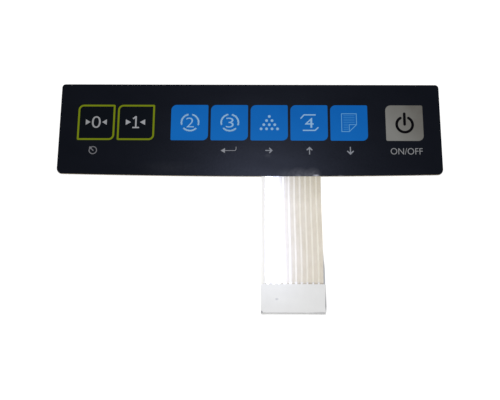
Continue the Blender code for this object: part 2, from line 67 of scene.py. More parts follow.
# %% [markdown]
# Signs are printed on top of the face, so we need its height and the middle of every key.
# Both could be typed in, but reading them from the loaded parts keeps the print on the keys
# if the keypad is ever made in another size. Keys 1 and 2 have green frames, 3 to 7 are blue
# and 8 is grey.

# %% Find the face and the keys
FACE_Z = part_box("graphic_overlay")[1][2]
INK = 0.012 * MM
HALF_INK = Vector((0, 0, INK / 2))


def key_node(number):
    """The part that shows where a key is."""
    return ("key_frame_%d" if number <= 2 else "key_field_%d") % number


def middle(node):
    """The middle of a part, seen from above."""
    low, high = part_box(node)
    return Vector(((low[0] + high[0]) / 2, (low[1] + high[1]) / 2, FACE_Z))


KEYS = {number: middle(key_node(number)) for number in range(1, 9)}
key_low, key_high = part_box(key_node(3))
print("face at %.2f mm, keys %.1f mm wide" % (FACE_Z / MM, (key_high[0] - key_low[0]) / MM))

# %% [markdown]
# The camera looks almost straight down, leaning 13 degrees towards the tail, and it rolls a
# fraction of a degree. One could frame the keypad by eye. Here the place and the angles come
# from matching the corners of the keys, so the picture's slight widening towards the bottom
# edge is the same. A focal length in pixels becomes a lens through the sensor's width.

# %% Place the camera
PICTURE_WIDTH = 500
FOCAL_PIXELS = 700
SENSOR = 36.0
CAMERA_PLACE = (3.20, -106.075, 315.55)
CAMERA_TURN = (0.22509, 0.00783, 0.00564)

lens = bpy.data.cameras.new("camera")
lens.sensor_width = SENSOR
lens.lens = FOCAL_PIXELS / PICTURE_WIDTH * SENSOR
camera = bpy.data.objects.new("camera", lens)
bpy.context.scene.collection.objects.link(camera)
camera.location = Vector(CAMERA_PLACE) * MM
camera.rotation_euler = Euler(CAMERA_TURN)
bpy.context.scene.camera = camera
print("lens %.1f mm, camera %.0f mm up" % (lens.lens, camera.location.z / MM))

# %% [markdown]
# A renderer works in linear values, but nobody picks colours in them: a middle grey of 128 is
# only 0.22 there. So a colour is written as the 0 to 255 values a painter would pick, and one
# small function turns it into linear ones.

# %% Turn picked colours into linear ones


def paint(red, green, blue):
    """A colour from 0 to 255 values, as linear red, green, blue and alpha."""
    linear = []
    for value in (red, green, blue):
        share = value / 255
        linear.append(share / 12.92 if share <= 0.04045 else ((share + 0.055) / 1.055) ** 2.4)
    return (*linear, 1.0)


print("a middle grey is %.2f in linear values" % paint(128, 128, 128)[0])

# %% [markdown]
# Every finish below is a small node tree. A tree could be wired by hand in the shader editor,
# but helpers save much repetition. `Finish` starts a material and gives it the Object
# coordinates, which are in metres here, so a pattern has a true size: a scale of 1000 makes
# features of about a millimetre. `spot`, `beyond` and `within` mark places on a piece.

# %% Helpers for finishes


class Finish:
    """A material under construction: its nodes, its shader and the coordinates of its piece."""

    def __init__(self, name, **sockets):
        self.material = bpy.data.materials.new(name)
        self.material.use_nodes = True
        self.tree = self.material.node_tree
        self.shader = self.tree.nodes["Principled BSDF"]
        for label, value in sockets.items():
            self.shader.inputs[label.replace("_", " ")].default_value = value
        self.place = self.node("ShaderNodeTexCoord").outputs["Object"]

    def node(self, kind, **values):
        """A new node; words set its properties, and its sockets are linked afterwards."""
        made = self.tree.nodes.new(kind)
        for label, value in values.items():
            setattr(made, label, value)
        return made

    def link(self, source, target):
        self.tree.links.new(source, target)

    def stretch(self, x, y, z):
        """The coordinates, scaled along each axis."""
        mapping = self.node("ShaderNodeMapping")
        mapping.inputs["Scale"].default_value = (x, y, z)
        self.link(self.place, mapping.inputs["Vector"])
        return mapping.outputs["Vector"]

    def noise(self, scale, detail=2.0, vector=None):
        """Cloudy variation, with features of about 1 / scale metres."""
        texture = self.node("ShaderNodeTexNoise")
        texture.inputs["Scale"].default_value = scale
        texture.inputs["Detail"].default_value = detail
        self.link(vector or self.place, texture.inputs["Vector"])
        return texture.outputs["Fac"]

    def remap(self, source, low, high, start=0.3, stop=0.7):
        """Turns a value that runs from start to stop into one that runs from low to high."""
        made = self.node("ShaderNodeMapRange")
        for label, value in (
            ("From Min", start),
            ("From Max", stop),
            ("To Min", low),
            ("To Max", high),
        ):
            made.inputs[label].default_value = value
        self.link(source, made.inputs["Value"])
        return made.outputs["Result"]

    def mix(self, share, first, second):
        """Blends two colours, each a value or another node's output."""
        made = self.node("ShaderNodeMix", data_type="RGBA")
        for socket, value in ((made.inputs["A"], first), (made.inputs["B"], second)):
            colour = next(s for s in made.inputs if s.name == socket.name and s.type == "RGBA")
            if isinstance(value, tuple):
                colour.default_value = value
            else:
                self.link(value, colour)
        self.link(share, made.inputs["Factor"])
        return next(s for s in made.outputs if s.type == "RGBA")

    def spot(self, middle, reach, strength=1.0):
        """A soft spot of a given strength, which ends at a reach in mm along each axis."""
        away = self.node("ShaderNodeVectorMath", operation="SUBTRACT")
        away.inputs[1].default_value = Vector(middle) * MM
        self.link(self.place, away.inputs[0])
        share = self.node("ShaderNodeVectorMath", operation="DIVIDE")
        share.inputs[1].default_value = Vector(reach) * MM
        self.link(away.outputs["Vector"], share.inputs[0])
        far = self.node("ShaderNodeVectorMath", operation="LENGTH")
        self.link(share.outputs["Vector"], far.inputs[0])
        return self.remap(far.outputs["Value"], strength, 0.0, 0.0, 1.0)

    def beyond(self, middle, way, blur):
        """1 beyond a line through a place in mm, on the side the way points to, otherwise 0."""
        away = self.node("ShaderNodeVectorMath", operation="SUBTRACT")
        away.inputs[1].default_value = Vector(middle) * MM
        self.link(self.place, away.inputs[0])
        side = self.node("ShaderNodeVectorMath", operation="DOT_PRODUCT")
        side.inputs[1].default_value = Vector(way).normalized()
        self.link(away.outputs["Vector"], side.inputs[0])
        return self.remap(side.outputs["Value"], 0.0, 1.0, -blur * MM, blur * MM)

    def within(self, node):
        """1 inside a part's box, seen from above, and 0 outside it."""
        low, high = (Vector(corner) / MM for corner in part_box(node))
        share = self.beyond(low, (1, 0, 0), 0.1)
        for corner, way in ((high, (-1, 0, 0)), (low, (0, 1, 0)), (high, (0, -1, 0))):
            share = self.both(share, self.beyond(corner, way, 0.1))
        return share

    def both(self, first, second):
        """The product of two values."""
        made = self.node("ShaderNodeMath", operation="MULTIPLY")
        self.link(first, made.inputs[0])
        self.link(second, made.inputs[1])
        return made.outputs["Value"]

    def use(self, source, socket):
        self.link(source, self.shader.inputs[socket])

    def grain(self, source, depth):
        """Raises the surface by depth where the source is bright."""
        bump = self.node("ShaderNodeBump")
        bump.inputs["Distance"].default_value = depth
        bump.inputs["Strength"].default_value = 1.0
        self.link(source, bump.inputs["Height"])
        self.use(bump.outputs["Normal"], "Normal")


print("helpers ready")

# %% [markdown]
# The face is polycarbonate film, printed from behind and lightly matted in front. A single
# dark colour would look like paper, so three things vary: cloudy ink, faint smears in the
# gloss where fingers have been, and a very fine grain. One function makes every colour on the
# face. An ink can be painted lighter on one side, a painted sheen where the lamp's glare lies.
# The bare black film has two more traits. Pale spots are painted along its lower edge where
# the tail leaves: scuffs where the edge rides on the tail, and painted glints where light
# catches that edge; a broad painted sheen lies further left. And inside the two green frames
# it is smoother, so less light spreads there and the black is deeper: keys often get such a
# window of clear varnish. The matt texture runs along the face's height, so a lamp's shine
# spreads further sideways.

# %% Finish of the printed face
FILM_GLOSS = 0.048
WINDOW_GLOSS = 0.034
INK_GLOSS = 0.008
GLOSS_TINT = paint(206, 216, 255)
DEEP_BLACK = paint(6, 9, 13)
# Pale spots on the black film: scuffs, painted glints on the lower edge and a broad painted
# sheen.
SCUFF_AND_GLINT = paint(205, 206, 218)
# Place x and y, reach along x and y, all in mm, and strength
SCUFFS_AND_GLINTS = [
    (-37.4, -18.8, 16.0, 4.5, 0.01),
    (8.6, -12.8, 1.9, 1.2, 0.04),
    (16.8, -22.7, 5.0, 4.6, 0.05),
    (23.2, -22.7, 6.0, 4.7, 0.13),
    (29.4, -22.7, 4.6, 4.7, 0.14),
    (22.8, -22.4, 1.6, 0.8, 0.2),
    (31.0, -22.4, 1.9, 0.85, 0.95),
    (42.3, -22.5, 1.8, 0.6, 0.35),
]


def printed_film(name, colour, lighter, sheen_side=None, windows=(), scuffs_and_glints=()):
    """Matt film over ink with a painted sheen on one side, smooth windows, scuffs and painted
    glints.
    """
    look = Finish(name, Specular_IOR_Level=INK_GLOSS, Specular_Tint=GLOSS_TINT)
    # Painted sheen: the ink turns lighter towards the side where the lamp's glare lies.
    shade = look.mix(look.beyond(*sheen_side), colour, lighter) if sheen_side else colour
    shade = look.mix(look.remap(look.noise(90, 3), 0.0, 0.5), shade, lighter)
    if windows:
        first, second = (look.within(node) for node in windows)
        either = look.node("ShaderNodeMath", operation="ADD")
        look.link(first, either.inputs[0])
        look.link(second, either.inputs[1])
        clear = either.outputs["Value"]
        look.use(look.remap(clear, FILM_GLOSS, WINDOW_GLOSS, 0.0, 1.0), "Specular IOR Level")
        shade = look.mix(clear, shade, DEEP_BLACK)
    patches = look.remap(look.noise(700, 3), 0.5, 1.0)
    # Each spot paints the pale tone in: partly scuffs, partly painted glints and painted sheen.
    for x, y, long, wide, strength in scuffs_and_glints:
        spot = look.spot((x, y, FACE_Z / MM), (long, wide, 1.0), strength)
        shade = look.mix(look.both(spot, patches), shade, SCUFF_AND_GLINT)
    look.use(shade, "Base Color")
    smears = look.noise(1.0, 4, look.stretch(30, 120, 30))
    look.use(look.remap(smears, 0.255, 0.3), "Roughness")
    look.grain(look.noise(1.0, 1, look.stretch(6500, 1500, 1500)), 0.013 * MM)
    return look.material


print("gloss of the bare film %.3f, of ink %.3f" % (FILM_GLOSS, INK_GLOSS))

# %% [markdown]
# That one function now mixes the bare film and every ink. Signs could all be one white, but
# white ink is thin and lets what lies under it through, so it is icy on the blue keys and a
# plain grey on black. The small signs are printed thinner still, and are darker for it.

# %% Mix the inks
BETWEEN_FRAMES = (KEYS[1] + KEYS[2]) / 2 / MM
GREY_KEY = KEYS[8] / MM
BLUE_KEY = KEYS[5] / MM
BLACK_FILM = printed_film(
    "black_film",
    paint(7, 9, 14),
    paint(11, 13, 19),
    windows=("key_frame_1", "key_frame_2"),
    scuffs_and_glints=SCUFFS_AND_GLINTS,
)
FRAME_INK = printed_film("frame_ink", paint(106, 119, 16), paint(116, 130, 24))
# The blue, grey and pale inks are painted lighter towards the glare, a painted sheen.
BLUE_INK = printed_film(
    "blue_ink", paint(14, 88, 164), paint(18, 98, 176), sheen_side=(BLUE_KEY, (-0.12, -1, 0), 9.0)
)
GREY_INK = printed_film(
    "grey_ink", paint(87, 84, 79), paint(121, 121, 118), sheen_side=(GREY_KEY, (-1, -0.7, 0), 7.5)
)
PALE_INK = printed_film(
    "pale_ink", paint(139, 141, 143), paint(151, 153, 157), sheen_side=(BETWEEN_FRAMES, (1, 0, 0), 4.0)
)
SOFT_INK = printed_film("soft_ink", paint(134, 136, 142), paint(146, 148, 154))
# The arrows' ink is painted lighter and bluer than the other dim signs, a painted sheen of the
# glare.
DIM_INK = printed_film("dim_ink", paint(125, 128, 136), paint(137, 140, 148))
FAINT_INK = printed_film("faint_ink", paint(103, 103, 107), paint(113, 113, 117))
ICE_INK = printed_film("ice_ink", paint(133, 170, 204), paint(141, 178, 211))
HAZE_INK = printed_film("haze_ink", paint(92, 150, 198), paint(100, 158, 205))
WORD_INK = printed_film("word_ink", paint(128, 129, 131), paint(138, 139, 141))
SYMBOL_INK = printed_film("symbol_ink", paint(7, 7, 9), paint(11, 11, 14))
print("printed finishes ready")

# %% [markdown]
# The tail is clear polyester film with tracks of silver ink on its underside and a cream
# insulating coat below them. Clear film could be made of glass, but a film this thin bends no
# light, so a lowered alpha is enough and renders quickly. It is glossy, which is why the
# light shows in it as a white stripe, and rubbing leaves fine scratches along its length. Near
# the panel, where the tail leaves it, the silver and the coat are painted darker and yellower:
# painted shade. Wet ink bites into its film, so the silver swells by a few thousandths of a
# millimetre, and no face of a track lies exactly in a face of the film, where light could
# slip past it. The film has also lost its gloss in two places: along its left edge, where it
# is handled, and in a bare wedge at the lower right, past the coat, where it widens to the
# housing. That wedge is also painted grey, a painted shade.

# %% Finish of the tail
FILM_IOR = 1.7
RIM_ALPHA = 0.7
RIM_GLOSS = 0.019
INK_SWELL = 0.003
coat_low, coat_high = (Vector(corner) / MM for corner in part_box("tail_cover"))
# A place on the line where each begins, the way it lies, and the line's blur, in mm
LEFT_RIM = ((coat_low.x + 2.2, 0.0, 0.0), (-1, 0, 0), 0.7)
RIGHT_RIM = ((coat_high.x - 0.15, 0.0, 0.0), (1, 0, 0), 0.12)
LOWER_END = ((0.0, coat_low.y + 12.0, 0.0), (0, -1, 0), 4.0)
# Where painted shade near the panel begins, on the silver and on the coat.
ROOT_SHADE = ((0.0, coat_high.y - 6.0, 0.0), (0, 1, 0), 8.0)


def clear_film(name, alpha):
    """Glossy film, nearly clear, with faint scratches along the tail."""
    look = Finish(name, IOR=FILM_IOR, Specular_Tint=GLOSS_TINT)
    haze = look.remap(look.noise(70, 3), 0.0, 1.0)
    shade = look.mix(haze, paint(232, 226, 217), paint(243, 240, 232))
    scratches = look.noise(1.0, 5, look.stretch(2600, 60, 60))
    look.use(look.remap(scratches, 0.10, 0.14), "Roughness")
    look.grain(look.noise(1.0, 3, look.stretch(500, 40, 40)), 0.001 * MM)
    # The bare wedge at the lower right is painted grey: painted shade.
    shaded_wedge = look.both(look.beyond(*RIGHT_RIM), look.beyond(*LOWER_END))
    either = look.node("ShaderNodeMath", operation="MAXIMUM")
    look.link(look.beyond(*LEFT_RIM), either.inputs[0])
    look.link(shaded_wedge, either.inputs[1])
    rim = either.outputs["Value"]
    # A pale tone for the left rim, and a grey painted shade for the right wedge.
    dull_and_shaded = look.mix(shaded_wedge, paint(253, 251, 243), paint(174, 177, 184))
    look.use(look.mix(rim, shade, dull_and_shaded), "Base Color")
    look.use(look.remap(rim, alpha, RIM_ALPHA, 0.0, 1.0), "Alpha")
    look.use(look.remap(rim, 1.0, RIM_GLOSS, 0.0, 1.0), "Specular IOR Level")
    return look.material


def silver_tracks():
    """Screen-printed silver ink: warm grey, with painted shade near the panel and a screen's
    grain.
    """
    look = Finish("silver_tracks", Roughness=0.55, Metallic=0.1)
    cloud = look.remap(look.noise(420, 4), 0.0, 1.0)
    shade = look.mix(cloud, paint(194, 185, 167), paint(204, 195, 179))
    # Painted shade: darker near the panel.
    look.use(look.mix(look.beyond(*ROOT_SHADE), shade, paint(160, 150, 124)), "Base Color")
    look.grain(look.noise(6500, 1), 0.004 * MM)
    swell = look.node("ShaderNodeDisplacement")
    swell.inputs["Height"].default_value = 1.0
    swell.inputs["Midlevel"].default_value = 0.0
    swell.inputs["Scale"].default_value = INK_SWELL * MM
    end = look.tree.nodes["Material Output"]
    look.link(swell.outputs["Displacement"], end.inputs["Displacement"])
    look.material.displacement_method = "DISPLACEMENT"
    return look.material


def cream_coat(name):
    """The insulating coat: cream, matt, a little uneven, with painted shade near the panel."""
    look = Finish(name, Roughness=0.6, Specular_IOR_Level=0.3)
    cloud = look.remap(look.noise(300, 3), 0.0, 1.0)
    shade = look.mix(cloud, paint(233, 226, 203), paint(239, 234, 217))
    # Painted shade: darker and yellower near the panel.
    look.use(look.mix(look.beyond(*ROOT_SHADE), shade, paint(208, 201, 178)), "Base Color")
    look.grain(look.noise(3000, 2), 0.004 * MM)
    return look.material


TAIL_FILM = clear_film("tail_film", 0.15)
LOWER_FILM = clear_film("lower_film", 0.6)
SILVER = silver_tracks()
COAT = cream_coat("cream_coat")
print("tail finishes ready")

# %% [markdown]
# The housing is moulded in white plastic with a soft, spark-eroded skin. The mould was fed
# through a small gate, which leaves a grey speck on the top, so a soft spot of about a
# millimetre is darkened there. Its front corners, its front edge and the right edge towards
# them are painted grey, a painted shade where the housing meets the table. Marks could be
# painted on an image, but soft spots at named places need none and stay smooth from close by.
# The contacts inside are stamped and tin plated, uneven where the crimping tool has pressed,
# and those on the left are painted lighter, a painted highlight of the lamp's glare.

# %% Finish of the housing and its contacts
GATE_MARK = (12.5, -79.535, 2.6)
GATE_REACH = (1.0, 0.7, 1.0)
# Grey of the painted shade along the housing's edges.
EDGE_SHADE = paint(70, 70, 76)
shell_low, shell_high = (Vector(corner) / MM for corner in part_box("connector_housing"))
# A place on the line where each begins, the way it lies, and the line's blur, in mm
RIGHT_EDGE = ((shell_high.x - 0.4, 0.0, 0.0), (1, 0, 0), 0.15)
CORNER_END = ((0.0, shell_low.y + 1.4, 0.0), (0, 1, 0), 1.2)
# Painted shade on the right edge towards the front corner.
# Place and reach
RIGHT_SHADE_SPOT = ((shell_high.x, shell_low.y + 2.8, 1.3), (8.0, 9.0, 9.0))
# Painted shade at the front corner and along the front edge.
# Place, reach along each axis and strength
SHADED_EDGES = [
    ((shell_low.x + 0.2, shell_low.y + 0.2, 2.6), (0.8, 0.8, 6.0), 1.0),
    ((shell_high.x - 2.0, shell_low.y, 1.3), (6.0, 0.7, 3.0), 0.5),
]


def moulded_white():
    look = Finish("moulded_white", Specular_IOR_Level=0.12, Specular_Tint=paint(224, 229, 250))
    cloud = look.remap(look.noise(160, 3), 0.0, 1.0)
    skin = look.mix(cloud, paint(221, 221, 220), paint(226, 226, 225))
    skin = look.mix(look.spot(GATE_MARK, GATE_REACH), skin, paint(186, 187, 192))
    # Painted shade at the front corners and along the front edge.
    for place, reach, strength in SHADED_EDGES:
        skin = look.mix(look.spot(place, reach, strength), skin, EDGE_SHADE)
    # Painted shade along the right edge near the front.
    edge = look.beyond(*RIGHT_EDGE)
    right_shade = look.both(look.spot(*RIGHT_SHADE_SPOT), look.beyond(*CORNER_END))
    skin = look.mix(look.both(edge, right_shade), skin, EDGE_SHADE)
    look.use(skin, "Base Color")
    look.use(look.remap(look.noise(50, 2), 0.18, 0.22), "Roughness")
    look.grain(look.noise(4200, 2), 0.006 * MM)
    return look.material


def plated_metal():
    look = Finish("plated_metal", Metallic=0.6)
    cloud = look.remap(look.noise(900, 3), 0.0, 1.0)
    bright = look.mix(cloud, paint(222, 222, 221), paint(236, 236, 235))
    dull_and_shaded = look.mix(cloud, paint(160, 150, 138), paint(186, 178, 166))
    middle = (shell_low + shell_high) / 2
    # The left contacts are painted lighter, a painted highlight where the lamp's glare lies.
    look.use(look.mix(look.beyond(middle, (1, 0, 0), 7.0), bright, dull_and_shaded), "Base Color")
    look.use(look.remap(look.noise(1500, 2), 0.3, 0.5), "Roughness")
    look.grain(look.noise(3000, 2), 0.003 * MM)
    return look.material


WHITE = moulded_white()
PLATED = plated_metal()
print("housing finishes ready")

# %% [markdown]
# What stays out of sight still gets its own finish, because a film that is lifted or a view
# from the side shows it. One flat colour would do for a sliver this thin, but a little cloud
# and grain costs only one function. The release liner alone has a large open face: glazed
# kraft paper, so it has long fibres, short flecks and a slight sheen.

# %% Finish of the inner layers and the liner


def dull_layer(name, colour, lighter, roughness=0.6):
    """A plain inner layer with a little cloudiness and grain."""
    look = Finish(name, Roughness=roughness, Specular_IOR_Level=0.3)
    cloud = look.remap(look.noise(140, 3), 0.0, 1.0)
    look.use(look.mix(cloud, colour, lighter), "Base Color")
    look.grain(look.noise(2600, 2), 0.004 * MM)
    return look.material


def glazed_paper():
    look = Finish("glazed_paper", Roughness=0.42, Specular_IOR_Level=0.35)
    fibres = look.remap(look.noise(1.0, 5, look.stretch(160, 900, 160)), 0.0, 1.0)
    base = look.mix(fibres, paint(202, 178, 128), paint(216, 195, 148))
    flecks = look.remap(look.noise(1800, 1), 0.0, 1.0, 0.62, 0.72)
    look.use(look.mix(flecks, base, paint(176, 148, 98)), "Base Color")
    look.use(look.remap(look.noise(60, 3), 0.36, 0.5), "Roughness")
    look.grain(look.noise(1.0, 4, look.stretch(400, 1600, 400)), 0.006 * MM)
    return look.material


LINER_PAPER = glazed_paper()
ADHESIVE = dull_layer("adhesive_film", paint(214, 214, 206), paint(226, 226, 220), 0.35)
SPACER = dull_layer("spacer_film", paint(226, 222, 208), paint(236, 232, 220))
CARBON = dull_layer("carbon_ink", paint(34, 34, 36), paint(44, 44, 46), 0.75)
print("inner finishes ready")

# %% [markdown]
# Now each loaded part gets its finish. The parts keep their meshes and their places; only
# the material in their slot changes. Each could be named, but a table of name starts is
# enough, since repeated parts are numbered. Where two starts fit, the longer one holds.

# %% Dress the solid parts
DRESS = {
    "graphic_overlay": BLACK_FILM,
    "key_frame_": FRAME_INK,
    "key_field_": BLUE_INK,
    "key_field_8": GREY_INK,
    "overlay_adhesive": ADHESIVE,
    "upper_circuit_film": TAIL_FILM,
    "lower_circuit_film": LOWER_FILM,
    "track_": SILVER,
    "tail_cover": COAT,
    "spacer": SPACER,
    "shorting_pad_": CARBON,
    "rear_adhesive": ADHESIVE,
    "release_liner": LINER_PAPER,
    "connector_housing": WHITE,
    "contact_": PLATED,
}
for name, part in frame["nodes"].items():
    start = max((key for key in DRESS if name.startswith(key)), key=len)
    for slot in part.material_slots:
        slot.material = DRESS[start]
print("dressed:", len(frame["nodes"]), "parts")

# %% [markdown]
# A printed sign is a very thin raised shape. Text and pictures on an image would do for one
# view, but shapes stay sharp at any distance and can be cut or exported. Two builders cover
# nearly all signs: a filled outline, and a band of one width along a line of points, whose
# corners are mitred.

# %% Builders for printed signs
END_STEPS = 10


def fill(bm, points):
    """A filled outline."""
    bm.faces.new([bm.verts.new((x * MM, y * MM, 0)) for x, y in points])


def round_end(bm, pair, way):
    """Closes a band with half a disc, from one of its sides to the other."""
    middle = (pair[0].co + pair[1].co) / 2
    rim = []
    for i in range(1, END_STEPS):
        turn = Matrix.Rotation(way * math.pi * i / END_STEPS, 3, "Z")
        rim.append(bm.verts.new(middle + turn @ (pair[0].co - middle)))
    bm.faces.new([pair[0], *rim, pair[1]])


def band(bm, points, width, closed=False, rounded=False):
    """A band of one width along a line, with mitred corners and square or round ends."""
    line = [Vector(point) for point in points]
    count = len(line)
    sides = []
    for i, point in enumerate(line):
        ahead = line[(i + 1) % count] - point
        behind = point - line[i - 1]
        if not closed and i == 0:
            behind = ahead
        if not closed and i == count - 1:
            ahead = behind
        normal_ahead = Vector((-ahead.y, ahead.x)).normalized()
        normal_behind = Vector((-behind.y, behind.x)).normalized()
        mitre = (normal_ahead + normal_behind).normalized()
        mitre *= width / 2 / mitre.dot(normal_ahead)
        pair = []
        for spot in (point + mitre, point - mitre):
            pair.append(bm.verts.new((spot.x * MM, spot.y * MM, 0)))
        sides.append(pair)
    for i in range(count if closed else count - 1):
        first, second = sides[i], sides[(i + 1) % count]
        bm.faces.new((first[0], first[1], second[1], second[0]))
    if rounded:
        round_end(bm, sides[0], 1)
        round_end(bm, sides[-1], -1)


def arc(cx, cy, radius, start, stop, steps=24):
    """Points along a circle, with angles in degrees from the X axis."""
    points = []
    for i in range(steps + 1):
        angle = math.radians(start + (stop - start) * i / steps)
        points.append((cx + radius * math.cos(angle), cy + radius * math.sin(angle)))
    return points


print("a quarter circle has", len(arc(0, 0, 1, 0, 90)), "points")

# %% [markdown]
# A drawing is flat and has no place yet. The object could be moved to its key, but then a
# pattern on Object coordinates would move too. So `sign` raises the drawing by the ink's
# thickness, moves the mesh itself and leaves the object at the origin. `keep` gives a piece
# its finish and tells the frame which body carries it.

# %% Turn a drawing into a piece


def keep(piece, material):
    """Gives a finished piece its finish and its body."""
    piece.data.materials.clear()
    piece.data.materials.append(material)
    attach(piece, "root")
    return piece


def sign(name, draw, place, material):
    """A printed sign: draw adds flat shapes around a middle, which is then put at a place."""
    bm = bmesh.new()
    draw(bm)
    raised = bmesh.ops.extrude_face_region(bm, geom=list(bm.faces))["geom"]
    verts = [item for item in raised if isinstance(item, bmesh.types.BMVert)]
    bmesh.ops.translate(bm, verts=verts, vec=(0, 0, INK))
    bmesh.ops.recalc_face_normals(bm, faces=list(bm.faces))
    bmesh.ops.translate(bm, verts=list(bm.verts), vec=place)
    mesh = bpy.data.meshes.new(name)
    bm.to_mesh(mesh)
    bm.free()
    piece = bpy.data.objects.new(name, mesh)
    bpy.context.scene.collection.objects.link(piece)
    return keep(piece, material)


print("sign builders ready")

# %% [markdown]
# Figures are the one kind of sign that is easier to write than to draw. Blender's text object
# gives their outlines. It is turned into a mesh at once, and that mesh is stretched to the
# height and width of the print, so the letter shapes match whatever size the text had.

# %% Write figures and words
CURVE_STEPS = 6
WELD = 1e-5
RING_SHIFT = 0.2


def writing(name, words, place, width, height, material, weight=0.0):
    """Words of a given width and height in mm, raised by the ink's thickness."""
    text = bpy.data.curves.new(name, "FONT")
    text.body = words
    text.align_x = "CENTER"
    text.offset = weight
    text.resolution_u = CURVE_STEPS
    text.extrude = 0.5
    holder = bpy.data.objects.new(name + "_text", text)
    bpy.context.scene.collection.objects.link(holder)
    bpy.context.view_layer.update()
    graph = bpy.context.evaluated_depsgraph_get()
    mesh = bpy.data.meshes.new_from_object(holder.evaluated_get(graph))
    bpy.data.objects.remove(holder)
    bm = bmesh.new()
    bm.from_mesh(mesh)
    bmesh.ops.remove_doubles(bm, verts=list(bm.verts), dist=WELD)
    low = Vector([min(v.co[i] for v in bm.verts) for i in range(3)])
    high = Vector([max(v.co[i] for v in bm.verts) for i in range(3)])
    size = high - low
    scale = Vector((width * MM / size.x, height * MM / size.y, INK / size.z))
    for vert in bm.verts:
        share = vert.co - (low + high) / 2
        vert.co = Vector([share[i] * scale[i] for i in range(3)])
        vert.co += HALF_INK + place
    bmesh.ops.recalc_face_normals(bm, faces=list(bm.faces))
    bm.to_mesh(mesh)
    bm.free()
    mesh.name = name
    piece = bpy.data.objects.new(name, mesh)
    bpy.context.scene.collection.objects.link(piece)
    return keep(piece, material)


def beside(number, x, y):
    """A place on the face, x and y mm from the middle of a key."""
    return KEYS[number] + Vector((x, y, 0)) * MM


writing("figure_0", "0", beside(1, 0.0, 0.1), 4.2, 5.85, PALE_INK, -0.006)
writing("figure_2", "2", beside(3, RING_SHIFT, 0.0), 3.7, 4.9, ICE_INK, -0.01)
writing("figure_3", "3", beside(4, RING_SHIFT, 0.0), 3.7, 4.9, ICE_INK, -0.01)
writing("figure_4", "4", beside(6, 0.1, 0.0), 4.1, 4.9, ICE_INK)
writing("on_off", "ON/OFF", beside(8, 0.5, -13.9), 14.9, 3.1, WORD_INK, -0.005)
print("figures written")

# %% [markdown]
# The two framed keys carry small solid triangles that point at their figure from both sides,
# the mark for setting a zero. The grey key has the usual power symbol, an open ring with a
# bar. Under the first key stands the general sign for leaving: a ring, open at its upper
# left, with an arrow that goes out through the gap. A symbol font might hold all of them, but
# no two fonts draw them alike, so each is built from arcs, bands and outlines.

# %% Print the plain signs
POINTER_HEIGHT = 2.8
POWER_LINE = 1.28
POWER_GAP = 30


def pointers(reach, length):
    """Two triangles that point inwards, their tips at a given reach from the middle."""
    half = POINTER_HEIGHT / 2

    def draw(bm):
        for side in (-1, 1):
            outer = side * (reach + length)
            fill(bm, [(side * reach, 0), (outer, side * half), (outer, -side * half)])

    return draw


def figure_one(bm):
    """A figure 1 with a flag and a foot."""
    foot = [(-1.6, -3.0), (1.6, -3.0), (1.6, -2.35)]
    stem = [(0.35, -2.35), (0.35, 3.0), (-0.3, 3.0)]
    flag = [(-1.6, 1.95), (-1.2, 1.4), (-0.35, 2.05)]
    heel = [(-0.35, -2.35), (-1.6, -2.35)]
    fill(bm, [*foot, *stem, *flag, *heel])


def power_symbol(bm):
    ring_line = arc(0.1, -0.75, 3.76, 90 + POWER_GAP, 450 - POWER_GAP, 48)
    band(bm, ring_line, POWER_LINE, rounded=True)
    band(bm, [(0.12, 4.66), (0.1, -0.66)], POWER_LINE, rounded=True)


def arrow_outline(length, head, width):
    """An open-headed arrow of one line width, its tip at the top, its middle at the origin."""
    notch = width * (0.5 + math.sqrt(2))
    barb = width / math.sqrt(2)
    half = width / 2
    side = [
        (head, -head),
        (head - barb, -head - barb),
        (half, -notch - half),
        (half, -length),
    ]
    mirrored = [(-x, y) for x, y in reversed(side)]
    return [(x, y + length / 2) for x, y in [(0.0, 0.0), *side, *mirrored]]


def turned(points, degrees):
    """Points turned around the origin."""
    turn = Matrix.Rotation(math.radians(degrees), 2)
    return [tuple(turn @ Vector(point)) for point in points]


def leave_symbol(bm):
    band(bm, arc(0.0, -0.2, 1.75, -195, 105, 32), 0.46)
    arrow = turned(arrow_outline(2.9, 1.0, 0.48), 45)
    fill(bm, [(x - 0.75, y + 0.55) for x, y in arrow])


sign("figure_1", figure_one, beside(2, -0.05, 0.1), PALE_INK)
sign("zero_pointers", pointers(2.75, 2.25), beside(1, 0.0, 0.1), PALE_INK)
sign("one_pointers", pointers(2.1, 2.5), beside(2, -0.25, 0.1), PALE_INK)
sign("power_symbol", power_symbol, beside(8, 0.0, 0.0), SYMBOL_INK)
sign("leave_symbol", leave_symbol, beside(1, -0.9, -13.6), FAINT_INK)
print("plain signs printed")

# %% [markdown]
# Below four of the blue keys stand arrows for moving about a menu: one for enter, and three
# that share a shape. A shape that is only turned needs one outline, so the three come from
# the same function. The enter arrow is a solid head with a line that bends upwards.

# %% Print the arrows
ARROW_LINE = 0.5


def plain_arrow(degrees, length, head):
    """The shared arrow, turned to point another way."""

    def draw(bm):
        fill(bm, turned(arrow_outline(length, head, ARROW_LINE), degrees))

    return draw


def enter_arrow(bm):
    fill(bm, [(-3.9, 0.0), (-1.9, -1.2), (-1.9, 1.2)])
    bend = arc(2.5, 0.8, 0.8, -90, 0, 8)
    band(bm, [(-1.9, 0.0), (0.5, 0.0), *bend, (3.3, 1.9)], 0.26)


sign("enter_arrow", enter_arrow, beside(4, 0.0, -13.8), SOFT_INK)
sign("right_arrow", plain_arrow(-90, 3.5, 1.45), beside(5, -0.1, -13.7), DIM_INK)
sign("up_arrow", plain_arrow(0, 3.8, 1.5), beside(6, 0.05, -13.7), DIM_INK)
sign("down_arrow", plain_arrow(180, 3.9, 1.7), beside(7, 0.35, -13.75), DIM_INK)
print("arrows printed")

